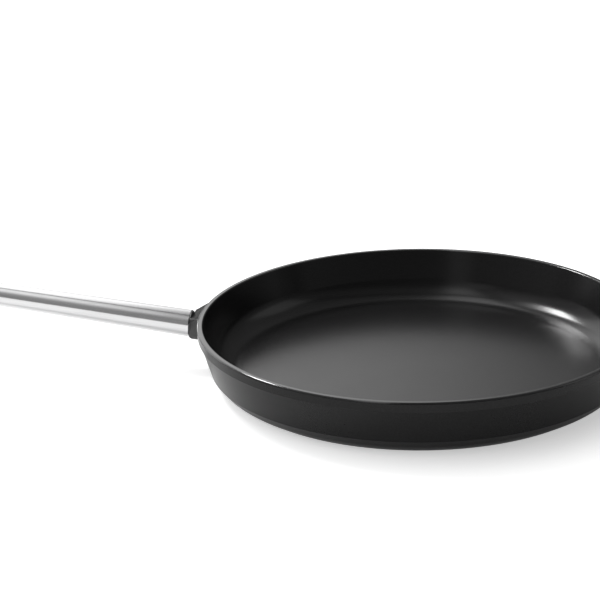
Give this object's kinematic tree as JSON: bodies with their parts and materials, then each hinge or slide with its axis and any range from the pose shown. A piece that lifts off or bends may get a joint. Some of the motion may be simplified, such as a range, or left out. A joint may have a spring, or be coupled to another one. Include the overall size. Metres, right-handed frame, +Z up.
{
  "type": "omelette pan",
  "caption": "Low round cast omelette pan with a dark non-stick inside, a raised rim band, a perforated base plate and a straight tapered steel tube handle.",
  "frame": {"origin": "centre of the base's underside, on the face that rests on the hob", "axes": "+Z up out of the bowl, the handle points along -X, X is the plane of symmetry's long direction"},
  "size_m": [0.5472, 0.3198, 0.0608],
  "materials": {
    "coated_casting": "black non-stick coating on cast aluminium, satin inside, fine matt texture outside",
    "handle_steel": "drawn stainless tube, polished with fine lengthwise grain",
    "plate_steel": "perforated ferritic steel disc, turned flat",
    "plain_steel": "plain machined steel, hidden in the handle"
  },
  "bodies": {
    "root": {"pan_body": "coated_casting", "induction_plate": "plate_steel", "thread_insert": "plain_steel", "handle_tube": "handle_steel", "front_bush": "plain_steel", "rear_bulkhead": "plain_steel", "bolt_washer": "plain_steel", "tie_bolt": "plain_steel", "end_cap": "handle_steel"}
  },
  "joints": []
}
